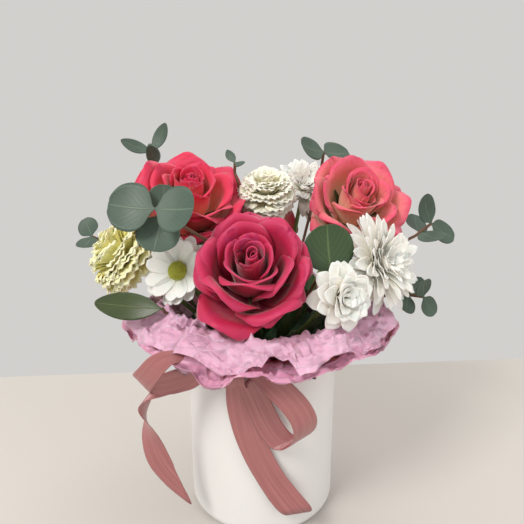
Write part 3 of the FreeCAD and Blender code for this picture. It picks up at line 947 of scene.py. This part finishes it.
class CarnationMaker(HeadMaker):
    """Carnations: rings of fan petals with ruffled, toothed edges.

    They go from the upright middle to the drooping skirt.
    """

    own_radius = 21
    ripple = (0.005, 0.0030)

    @staticmethod
    def fan(length: float, width: float, ruffle: float) -> Petal:
        """Return a fan petal that is long and wide in those sizes."""
        return Petal(((0, 0, 1.2), (0.35 * length, 0.6, 2.5), (0.6 * length, 1.5, 0.6 * width),
                      (0.82 * length, 2.5, 0.9 * width), (0.95 * length, 3.5, width),
                      (length, 5, 1.05 * width)), 38, 3.5, 0, 0, ruffle, 8, 0.35)

    def build(self, flowers: Sequence[Flower]) -> None:
        """Make every carnation's head."""
        rings = tuple(
            Ring(self.fan(length, width, ruffle), count, tilt, spin, 1, lift, 1, jitter)
            for length, width, ruffle, count, tilt, spin, lift, jitter in (
                (25, 6, 2.4, 9, 8, 0, -2, 16), (25, 7.5, 2.6, 14, 24, 20, -2, 16),
                (25, 8.5, 2.6, 18, 40, 5, -2, 15), (24, 9.5, 2.6, 19, 56, 15, -2, 15),
                (24, 10, 2.4, 18, 72, 0, -2, 14), (23, 10, 2.4, 15, 90, 10, -1, 12),
                (21, 9, 2.2, 10, 108, 10, -1, 10)))
        with patterns_for(rings) as patterns:
            for flower in flowers:
                self.make_head(flower, rings, patterns, self.size(flower))


class MumMaker(HeadMaker):
    """White many-petalled flowers: rings of pointed petals, cut for each flower."""

    ripple = (0.008, 0.0010)
    petal_reach = 1.12
    slenderness = 0.165
    least_width = 3.0

    @staticmethod
    def blade(length: float, width: float, point: float) -> Petal:
        """Return a pointed petal that curves up and then out."""
        return Petal(((0, 0, 0.4 * width), (0.25 * length, -0.5, 0.8 * width),
                      (0.5 * length, -1.2, width), (0.75 * length, -1, 0.9 * width),
                      (0.92 * length, 0.2, 0.72 * width), (length, 1.2, 0.45 * width)),
                     42, 1.5, point, 0, 0, 4, 0.35)

    def build(self, flowers: Sequence[Flower]) -> None:
        """Make every white flower's head."""
        for flower in flowers:
            length = self.petal_reach * flower.swell * flower.radius
            width = max(self.least_width, self.slenderness * length) * flower.breadth
            rings = tuple(
                Ring(self.blade(reach * length, span * width, point),
                     round(count / flower.breadth), tilt, spin, 2, 1, 1, 12)
                for reach, span, point, count, tilt, spin in (
                    (0.45, 0.7, 0.5, 9, 8, 0), (0.60, 0.8, 0.8, 14, 24, 15),
                    (0.76, 0.9, 1.0, 17, 40, 0), (0.90, 1.0, 1.2, 18, 56, 12),
                    (1.0, 1.1, 1.2, 18, 74, 0), (1.0, 1.1, 1.2, 14, 94, 7)))
            with patterns_for(rings) as patterns:
                self.make_head(flower, rings, patterns, 1.0)


class DaisyMaker:
    """The daisy: two rings of broad petals and a domed disc of florets."""

    florets = 130
    floret_radius = 0.75
    disc_radius = 7.0
    disc_height = 5.5
    disc_rise = 3.0

    def build(self, flowers: Sequence[Flower]) -> None:
        """Make every daisy's petals and disc."""
        for flower in flowers:
            length = flower.radius
            petal = Petal(((0, 0, 2.5), (0.3 * length, 0.4, 4), (0.6 * length, 0.4, 5.4),
                           (0.85 * length, 0, 5.2), (length, -0.6, 3.6)),
                          30, 2.5, -0.8, columns=4, gauge=0.4)
            rings = (Ring(petal, 12, 66, 0, 3, 0.5, 1.05, 5),
                     Ring(petal, 12, 82, 15, 3, 0, 1.12, 6))
            with patterns_for(rings) as patterns:
                head = whorl(flower.name + "_rays", rings, patterns, flower.seat)
            Bench.hand_in(head, flower.name, flower.finish, flower.name + "_petals")
            self.build_disc(flower)

    def build_disc(self, flower: Flower) -> None:
        """Make the dome of florets on the daisy's middle."""
        radius, height = self.disc_radius * MM, self.disc_height * MM
        top = flower.seat @ shift(0, 0, self.disc_rise * MM)
        Bench.only()
        bpy.ops.mesh.primitive_ico_sphere_add(subdivisions=1, radius=self.floret_radius * MM)
        floret = bpy.context.object
        parts = []
        for index in range(self.florets):
            share = (index + 0.5) / self.florets
            angle = math.radians(index * GOLDEN_ANGLE)
            out = radius * math.sqrt(share)
            place = top @ shift(out * math.cos(angle), out * math.sin(angle),
                                height * math.sqrt(1.02 - share))
            parts.append(Bench.copy(floret, place, share))
        Bench.only()
        bpy.ops.mesh.primitive_uv_sphere_add(segments=24, ring_count=12, radius=1)
        dome = bpy.context.object
        dome.data.transform(top @ Matrix.Diagonal((radius, radius, height, 1)))
        bpy.data.objects.remove(floret)
        disc = Bench.join(flower.name + "_dome", [dome] + parts)
        Bench.hand_in(disc, flower.name, DISC, flower.name + "_disc")


class LeafMaker:
    """The leaves of the sprigs and ruscus, with short stalks.

    shares are the places along a leaf where its half-width is one of the spans,
    and front is the way that a leaf's face is turned, as far as obedience says.
    """

    shares = (0.12, 0.3, 0.5, 0.7, 0.86, 0.96)
    pointed_spans = (0.52, 0.86, 1.0, 0.9, 0.62, 0.34)
    round_spans = (0.68, 0.95, 1.0, 0.95, 0.76, 0.48)
    slender = 0.6
    twig_radius = 1.2
    pair_gap = 12
    front = Vector((0.1, -1.0, 0.55))
    obedience = 0.85

    @classmethod
    def pattern(cls, length: float, width: float, pointed: bool) -> Petal:
        """Return a leaf of that length and width.

        Args:
            length: Along the midrib, in millimetres.
            width: Across the widest part, in millimetres.
            pointed: Whether its tip is drawn out.

        Returns:
            The leaf's pattern.
        """
        half = width / 2
        rows = [(-2.5, 0, 0.6), (0.02 * length, 0, 0.8)]
        for share, span in zip(cls.shares, cls.pointed_spans if pointed else cls.round_spans):
            rows.append((share * length, 0.07 * length * math.sin(math.pi * share), span * half))
        rows.append((length, -0.3, (0.12 if pointed else 0.3) * half))
        return Petal(tuple(rows), 26, point=0.4, gauge=0.5, flatten=0.9)

    @classmethod
    def turned(cls, place: Matrix) -> Matrix:
        """Return the turn about a leaf's length that shows its face to the front."""
        axes = place.to_3x3()
        angle = math.atan2(axes.col[1].dot(cls.front), axes.col[0].dot(cls.front))
        if abs(angle) > math.pi / 2:
            angle -= math.copysign(math.pi, angle)
        return Matrix.Rotation(cls.obedience * angle, 4, "Z")

    def build(self, sprigs: Sequence[Sprig]) -> None:
        """Make every sprig's leaves."""
        draws = Bench.draws
        for sprig in sprigs:
            pointed = (sprig.finish is DARK_LEAF
                       or sprig.leaf_width < self.slender * sprig.leaf_length)
            pattern = self.pattern(sprig.leaf_length, sprig.breadth * sprig.leaf_width,
                                   pointed).make("pattern_" + sprig.name)
            start = (self.twig_radius / math.sin(math.radians(sprig.lean)) + 0.1) * MM
            parts = []
            for index in range(sprig.leaves):
                pair = index // 2
                along = (sprig.tip_length - self.pair_gap * pair) * MM
                roll = sprig.roll + 180 * (index % 2) + 90 * pair
                place = sprig.tip @ shift(0, 0, along) @ direction(roll, sprig.lean)
                size = sprig.sizes[index] if sprig.sizes else 1.0
                place = place @ self.turned(place) @ shift(0, 0, start) @ upright(size)
                parts.append(Bench.copy(pattern, place, draws.random()))
            bpy.data.objects.remove(pattern)
            leaves = Bench.join(sprig.name + "_foliage", parts)
            Bench.hand_in(leaves, sprig.name, sprig.finish, sprig.name + "_leaves")


class GreensMaker:
    """Dark leaves that fill the gaps: a low bed on the foam and some on each rose's stem."""

    length = 40.0
    width = 17.0
    bed_count = 34
    bed_middle = 6
    bed_radius = 44
    bed_height = 151
    stem_count = 5

    def build(self, flowers: Sequence[Flower]) -> None:
        """Make the bed and each rose's leaves."""
        draws = Bench.draws
        pattern = LeafMaker.pattern(self.length, self.width, True).make("pattern_green")
        parts = []
        for index in range(self.bed_count):
            share = (index + 0.5) / self.bed_count
            place = (turn(index * GOLDEN_ANGLE)
                     @ shift((self.bed_middle + self.bed_radius * math.sqrt(share)) * MM, 0,
                             self.bed_height * MM)
                     @ direction(draws.uniform(-25, 25), 12 + 50 * share)
                     @ upright(draws.uniform(0.75, 1.1)))
            parts.append(Bench.copy(pattern, place, draws.random()))
        low = turn(-118) @ shift(48 * MM, 0, 160 * MM) @ direction(-12, 50) @ upright(1.1)
        parts.append(Bench.copy(pattern, low, 0.9))
        Bench.hand_in(Bench.join("greens_bed", parts), "insert", ROSE_LEAF)
        for flower in flowers:
            parts = []
            for index in range(self.stem_count):
                place = (flower.stem @ shift(0, 0, (flower.reach - 8 - 7 * index) * MM)
                         @ direction(72 * index + draws.uniform(-20, 20), 62)
                         @ shift(0, 0, 3.5 * MM) @ upright(draws.uniform(0.7, 0.95)))
                parts.append(Bench.copy(pattern, place, draws.random()))
            Bench.hand_in(Bench.join(flower.name + "_greens", parts), flower.name, ROSE_LEAF)
        bpy.data.objects.remove(pattern)


# ---------------------------------------------------------- tissue and bow


@dataclass
class TissueMaker:
    """A gathered sheet of tissue: skirt, neck and a flared, crumpled collar.

    profile has (out, up) from foot to lip; pulls are (azimuth, out, up, reach) of
    its corners; flat is the uncut sheet in metres, and nothing here uses it.
    Folds start at the neck's radius; a short one runs outwards and a long one
    round, over those half-angles.
    """

    name: str
    nodes: tuple[str, str]
    profile: tuple[Pair, ...]
    pulls: tuple[tuple[float, float, float, float], ...]
    flat: Pair
    finish: Finish
    seed: int
    folds: int = 240
    spokes: int = 220
    gauge: float = 0.2
    neck: float = 66
    corner_cosine: float = 0.9985
    short_fold: float = 0.9
    long_fold: Pair = (10, 48)
    fold_depth: Pair = (1.0, 2.8)
    fold_reach: Pair = (2.5, 6)

    def build(self) -> None:
        """Extrude the sheet ring by ring, pull its corners and crumple it."""
        Bench.only()
        radius, height = self.profile[0]
        bpy.ops.mesh.primitive_circle_add(vertices=self.spokes, radius=radius * MM,
                                          location=(0, 0, height * MM))
        sheet = bpy.context.object
        bpy.ops.object.transform_apply(location=True)
        with Bench.hands(sheet) as hands:
            bpy.ops.mesh.select_all(action="SELECT")
            for last, following in zip(self.profile, self.profile[1:]):
                for share in (0.0, 0.5):
                    start = self.between(last, following, share)
                    out, up = self.between(last, following, share + 0.5)
                    hands.extrude((up - start[1]) * MM)
                    hands.scale(out / start[0], out / start[0], 1, (0, 0, up * MM))
            self.crumple(hands)
        Bench.subdivide(sheet, kind="SIMPLE")
        Bench.ripple(sheet, 0.016, 0.003)
        Bench.ripple(sheet, 0.006, 0.001)
        Bench.thicken(sheet, self.gauge)
        sheet.name = self.name
        Bench.hand_in(sheet, "box", self.finish, *self.nodes)

    @staticmethod
    def between(first: Pair, second: Pair, share: float) -> Pair:
        """Return a point part of the way from one profile point to the next."""
        return (first[0] + (second[0] - first[0]) * share,
                first[1] + (second[1] - first[1]) * share)

    def crumple(self, hands: Hands) -> None:
        """Pull the corners out and set random folds in the collar."""
        draws = random.Random(self.seed)
        edge = self.profile[-1][0] * MM
        for azimuth, out, up, reach in self.pulls:
            ray = turn(azimuth).col[0].xyz
            hands.pick_now(lambda p, ray=ray: p.length_squared > 0 and p.xy.length > 0.9 * edge
                           and p.xy.normalized().dot(ray.xy) > self.corner_cosine)
            hands.move(ray.x * out * MM, ray.y * out * MM, up * MM, reach * MM)
        for number in range(self.folds):
            azimuth = draws.uniform(-180, 180)
            level = draws.uniform(self.neck * MM, edge)
            long_way = number % 6
            wide = draws.uniform(*self.long_fold) if long_way else self.short_fold
            near = math.cos(math.radians(wide))
            band = (1.3 if long_way else 9) * MM
            slant = draws.uniform(-0.3, 0.3) * MM
            ray, side = (turn(azimuth).col[axis].xyz for axis in (0, 1))

            def on_fold(p: Vector) -> bool:
                """Return whether a point is on this fold, which slants across the collar."""
                bearing = math.degrees(math.atan2(p.dot(side), p.dot(ray)))
                return (p.xy.normalized().dot(ray.xy) > near
                        and abs(p.xy.length - level - slant * bearing) < band)

            hands.pick_now(on_fold)
            hands.move(0, 0, draws.choice((-1, 1)) * draws.uniform(*self.fold_depth) * MM,
                       draws.uniform(*self.fold_reach) * MM, "SHARP")


@dataclass(frozen=True)
class Station:
    """A place along a ribbon: its middle and which way its width points."""

    x: float
    y: float
    z: float
    width_x: float
    width_y: float
    width_z: float

    @property
    def middle(self) -> Vector:
        """The middle of the ribbon here, in metres."""
        return Vector((self.x, self.y, self.z)) * MM

    @property
    def across(self) -> Vector:
        """The unit vector across the ribbon here."""
        return Vector((self.width_x, self.width_y, self.width_z)).normalized()


def stations(*rows: Sequence[float]) -> tuple[Station, ...]:
    """Return the stations that rows of six numbers give."""
    return tuple(Station(*row) for row in rows)


@dataclass
class RibbonMaker:
    """One strip of the bow, laid from station to station.

    waist has (station, share of the width) where the strip isn't at full width; a
    folded strip is doubled along its middle, and lies spread outwards.
    """

    name: str
    node: str
    stations: tuple[Station, ...]
    width: float
    waist: tuple[Pair, ...] = ()
    folded: bool = False
    columns: int = 4
    spread: float = 0.6
    gauge: float = 0.35

    def target(self, station: Station, u: float, span: float) -> Vector:
        """Return where a vertex goes.

        Args:
            station: The station that it belongs to.
            u: How far across the strip it is, from -1 to 1.
            span: Half the strip's width there, in metres.

        Returns:
            The place, in metres.
        """
        if not self.folded:
            return station.middle + station.across * (u * span)
        out = Vector((station.x, station.y, 0)).normalized()
        return (station.middle + station.across * ((0.5 - abs(u)) * span)
                + out * (u * self.spread * MM))

    def build(self) -> None:
        """Lay the strip, smooth and ripple it, and give it its thickness."""
        rows = len(self.stations) - 1
        strip = Bench.grid(self.name, self.columns, rows)
        widths = dict(self.waist)
        half = self.width / 2 * MM
        with Bench.hands(strip) as hands:
            for number, station in enumerate(self.stations):
                v = number / rows
                for column in range(self.columns + 1):
                    u = 2 * column / self.columns - 1
                    hands.pick(u, v)
                    hands.move(*(self.target(station, u, half * widths.get(number, 1.0))
                                 - Vector((u, v, 0))))
        Bench.subdivide(strip, 2)
        Bench.ripple(strip, 0.018, 0.0016)
        Bench.thicken(strip, self.gauge)
        Bench.hand_in(strip, "box", SATIN, self.node)
        self.width * MM


def neck_stations(radius: float, height: float) -> tuple[Station, ...]:
    """Return stations once round the neck, a little past the start, 10 degrees apart."""
    angles = (math.radians(-106.5 + 10 * step) for step in range(37))
    return stations(*((radius * math.cos(angle), radius * math.sin(angle), height, 0, 0, 1)
                      for angle in angles))


LEFT_LOOP = stations(
    (-38, -66, 146, 0, -0.1, 1), (-46, -67, 141, -0.1, -0.1, 1),
    (-56, -68, 138, -0.15, -0.1, 1), (-66, -69, 136, -0.2, -0.1, 1),
    (-76, -70, 136, -0.35, -0.1, 0.95), (-82, -73, 137, -0.5, -0.2, 0.85),
    (-82, -79, 142, -0.65, -0.1, 0.75), (-76, -83, 150, -0.8, 0, 0.6),
    (-70, -84, 158, -0.8, 0, 0.6), (-64, -83, 163, -0.75, 0.1, 0.65),
    (-54, -80, 163, -0.4, 0.3, 0.8), (-45, -75, 159, -0.1, 0.3, 0.9),
    (-38, -69, 152, 0, 0, 1),
)
RIGHT_LOOP = stations(
    (-8, -67, 143, 0.5, -0.3, 0.7), (0, -73, 145, 0.6, -0.1, 0.75),
    (9, -79, 140, 0.72, 0, 0.69), (19, -83, 132, 0.75, 0, 0.66),
    (26, -84, 123, 0.8, 0, 0.6), (30, -82, 113, 0.85, 0.1, 0.5),
    (30, -77, 102, 0.85, 0.2, 0.45), (26, -72, 92, 0.85, 0.15, 0.5),
    (17, -68, 87, 0.85, 0.05, 0.55), (9, -66.5, 94, 0.8, 0, 0.6),
    (2, -66, 108, 0.8, 0, 0.6), (-4, -65.5, 124, 0.8, 0, 0.6),
    (-11, -65, 137, 0.8, 0, 0.6),
)
LEFT_TAIL = stations(
    (-43, -65, 144, 0, 0.3, 1), (-63, -66, 136, 0, 0.3, 1),
    (-76, -67, 133, 0.4, 0.4, 1), (-82, -67, 124, 0.7, 0.7, 0.3),
    (-84, -66, 114, 0.15, 1, 0), (-82, -65, 97, -0.8, 0.55, -0.25),
    (-79, -64, 79, -0.87, 0, -0.5), (-72, -63.5, 62, -0.75, 0, -0.66),
    (-58, -63, 46, 0.36, 0, -0.93),
)
RIGHT_TAIL = stations(
    (-18, -66, 139, 1, 0, 0.05), (-18, -65, 128, 1, 0, 0.1),
    (-14, -64.5, 110, 1, 0, 0.2), (-9, -64, 90, 0.95, 0, 0.35),
    (-1, -63.5, 70, 0.88, 0, 0.48), (11, -63.5, 47, 0.85, 0, 0.5),
    (28, -65, 26, 0.98, 0, 0.19),
)
KNOT = stations(
    (-17, -61.5, 146, 1, 0, 0), (-18, -65, 147, 1, 0, 0),
    (-19, -70, 145, 1, 0, 0), (-20, -72, 140, 1, 0, 0),
    (-19, -71, 135, 1, 0, 0), (-18, -68, 132, 1, 0, 0),
    (-17, -63, 132, 1, 0, 0),
)
BOW = (
    RibbonMaker("bow_band", "ribbon_band", neck_stations(59.0, 144.5), 19.0, folded=True),
    RibbonMaker("bow_left", "ribbon_loop_left", LEFT_LOOP, 18.0,
                ((0, 0.6), (7, 0.85), (8, 0.85), (9, 0.7), (10, 0.5), (11, 0.5), (12, 0.5))),
    RibbonMaker("bow_right", "ribbon_loop_right", RIGHT_LOOP, 19.0,
                ((0, 0.5), (1, 0.8), (12, 0.7))),
    RibbonMaker("bow_tail_left", "ribbon_tail_left", LEFT_TAIL, 18.0, ((0, 0.6), (8, 2.2))),
    RibbonMaker("bow_tail_right", "ribbon_tail_right", RIGHT_TAIL, 21.0,
                ((0, 0.6), (1, 0.8), (6, 1.3))),
    RibbonMaker("bow_knot", "ribbon_knot", KNOT, 15.0),
)
TISSUES = (
    TissueMaker(
        "tissue_lower", ("tissue_outer_skirt", "tissue_outer_collar"),
        ((57, 106), (57, 120), (57, 134), (57.5, 144), (60, 149), (66, 151), (73, 152.5),
         (80, 156), (87, 156), (93, 160), (98, 157), (103, 158)),
        ((191, 7, 4, 22), (-10, 5, 3, 22), (-80, 1, -3, 20), (-108, 4, -6, 14), (-50, 2, 3, 12),
         (-140, 2, 3, 12), (60, 5, 3, 30), (120, 4, -3, 24)),
        (0.66, 0.085), TISSUE_UNDER, seed=3),
    TissueMaker(
        "tissue_upper", ("tissue_inner_skirt", "tissue_inner_collar"),
        ((56, 108), (56, 122), (56, 138), (56.5, 150), (60, 158), (66, 163), (72, 169),
         (78, 174), (84, 175), (90, 172), (95, 168), (99, 163)),
        ((196, 9, 4, 20), (-18, 7, 4, 20), (-60, 3, 5, 14), (-84, -6, 4, 9), (-74, 5, -3, 8),
         (-120, 2, 4, 12), (-104, 3, -4, 12), (-38, 4, -3, 10), (-146, 4, -3, 10),
         (150, 4, 4, 26), (40, 4, -2, 26)),
        (0.62, 0.09), TISSUE, seed=8),
)


# ------------------------------------------------------------------- set-up


# The CAD nodes that stay visible, by the end of their names.
NODE_FINISHES = {"box_shell": CARD, "foam": FOAM, "liner": LINER, "_twig": TWIG, "_stem": STEM}


def dress_frame() -> None:
    """Give the CAD nodes that stay visible their finishes."""
    for name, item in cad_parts.items():
        for ending, finish in NODE_FINISHES.items():
            if name.endswith(ending):
                item.data.materials.clear()
                item.data.materials.append(finish.make())


@dataclass(frozen=True)
class Lamp:
    """A square lamp that is aimed at the flowers."""

    name: str
    place: Row
    size: float
    power: float
    aim: Row = (0, 0, 0.17)
    colour: Colour = (1.0, 0.965, 0.92)

    def hang(self) -> None:
        """Hang the lamp."""
        lamp = bpy.data.lights.new(self.name, "AREA")
        lamp.color = self.colour
        lamp.size = self.size
        lamp.energy = self.power
        item = bpy.data.objects.new(self.name, lamp)
        bpy.context.scene.collection.objects.link(item)
        item.location = self.place
        item.rotation_euler = (Vector(self.aim) - Vector(self.place)).to_track_quat(
            "-Z", "Y").to_euler()


LAMPS = (Lamp("key", (-0.9, -1.1, 1.5), 0.6, 23), Lamp("fill", (1.3, -0.9, 0.9), 1.2, 5),
         Lamp("top", (0.2, 0.6, 1.7), 1.0, 8))
FLOOR_SIZE = 5.0
FLOOR_TURN = 4.5
FLOOR_BACK = -2.27
FLOOR_COLOUR = (0.60, 0.575, 0.54)
WORLD_COLOUR = (0.70, 0.685, 0.665, 1)
WORLD_STRENGTH = 0.92
SENSOR = 36.0
LENS = 36.07
CAMERA_PLACE = (0, -0.4, 0.313)
CAMERA_TILT = 75


def set_stage() -> None:
    """Lay the floor, hang the lights and set the camera."""
    Bench.only()
    bpy.ops.mesh.primitive_plane_add(size=FLOOR_SIZE)
    floor = bpy.context.object
    floor.data.transform(turn(FLOOR_TURN) @ shift(0, FLOOR_BACK, 0))
    floor.name = "floor"
    paint = Paint("floor_pale")
    floor.data.materials.append(paint.finish(Base_Color=FLOOR_COLOUR, Roughness=0.8))
    scene = bpy.context.scene
    scene.world = scene.world or bpy.data.worlds.new("studio")
    scene.world.use_nodes = True
    background = next(n for n in scene.world.node_tree.nodes if n.type == "BACKGROUND")
    background.inputs["Color"].default_value = WORLD_COLOUR
    background.inputs["Strength"].default_value = WORLD_STRENGTH
    for lamp in LAMPS:
        lamp.hang()
    data = bpy.data.cameras.new("camera")
    data.sensor_width = SENSOR
    data.lens = LENS
    camera = bpy.data.objects.new("camera", data)
    scene.collection.objects.link(camera)
    camera.location = CAMERA_PLACE
    camera.rotation_euler = (math.radians(CAMERA_TILT), 0, 0)
    scene.camera = camera
    scene.view_settings.view_transform = "Standard"


def main() -> None:
    """Build every piece in order."""
    logging.basicConfig(level=logging.INFO, format="%(message)s")
    set_stage()
    dress_frame()
    for strip in TISSUES + BOW:
        strip.build()
    flowers = {kind: [f for f in FLOWERS if f.kind is kind] for kind in Kind}
    RoseMaker().build(flowers[Kind.ROSE])
    CarnationMaker().build(flowers[Kind.CARNATION])
    MumMaker().build(flowers[Kind.MUM])
    DaisyMaker().build(flowers[Kind.DAISY])
    LeafMaker().build(SPRIGS)
    GreensMaker().build(flowers[Kind.ROSE])


if __name__ == "__main__":
    main()
